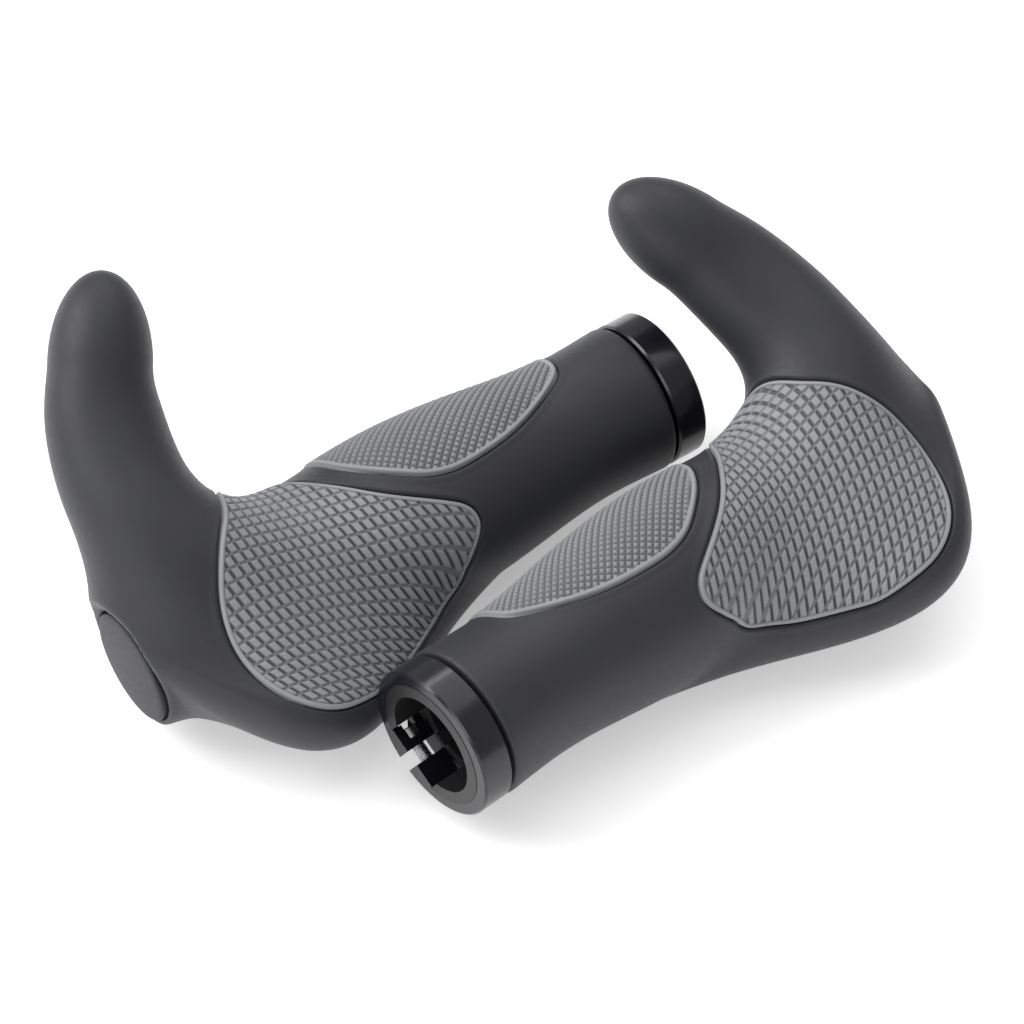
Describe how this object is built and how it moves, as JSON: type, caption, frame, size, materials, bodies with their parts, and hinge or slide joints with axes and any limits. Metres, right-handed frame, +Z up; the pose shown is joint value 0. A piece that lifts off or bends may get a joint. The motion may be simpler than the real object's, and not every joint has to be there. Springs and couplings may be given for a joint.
{
  "type": "bar end grips",
  "caption": "Ergonomic bicycle handlebar grips, left and right, with short integrated bar ends, clamp rings, textured soft pads and end plugs.",
  "frame": {"origin": "centre of the pair's footprint, on the floor the grips lie on", "axes": "+Z up; the pair's longest side runs along X, left grip towards -X; the inner (clamp) end of the right grip points to -X -Y"},
  "size_m": [0.1929, 0.1347, 0.0757],
  "materials": {
    "black_anodised": "gloss black anodised",
    "zinc_steel": "satin zinc",
    "black_nylon": "matte",
    "black_rubber": "soft matte",
    "grey_rubber": "matte, tiled",
    "grey_nylon": "satin"
  },
  "bodies": {
    "left_grip": {"left_clamp_collar": "black_anodised", "left_grip_core": "black_nylon", "left_rubber_cover": "black_rubber", "left_palm_pad": "grey_rubber", "left_finger_pad": "grey_rubber"},
    "left_bolt": {"left_clamp_bolt": "zinc_steel"},
    "left_plug": {"left_end_plug": "grey_nylon"},
    "right_grip": {"right_clamp_collar": "black_anodised", "right_grip_core": "black_nylon", "right_rubber_cover": "black_rubber", "right_palm_pad": "grey_rubber", "right_finger_pad": "grey_rubber"},
    "right_bolt": {"right_clamp_bolt": "zinc_steel"},
    "right_plug": {"right_end_plug": "grey_nylon"}
  },
  "joints": [
    {"name": "right_lift", "type": "slide", "parent": "left_grip", "child": "right_grip", "axis": [0, 0, 1], "range_m": [0, 0.12]},
    {"name": "left_bolt_turn", "type": "hinge", "parent": "left_grip", "child": "left_bolt", "pos_m": [0.02447, 0.0506, 0.01121], "axis": [-0.466, 0.6382, 0.6128], "continuous": true},
    {"name": "left_plug_pull", "type": "slide", "parent": "left_grip", "child": "left_plug", "axis": [-0.8145, -0.5799, -0.0154], "range_m": [0, 0.012]},
    {"name": "right_bolt_turn", "type": "hinge", "parent": "right_grip", "child": "right_bolt", "pos_m": [-0.01881, -0.0477, 0.0105], "axis": [-0.5665, 0.65, 0.5065], "continuous": true},
    {"name": "right_plug_pull", "type": "slide", "parent": "right_grip", "child": "right_plug", "axis": [0.7459, 0.6657, -0.0201], "range_m": [0, 0.012]}
  ]
}
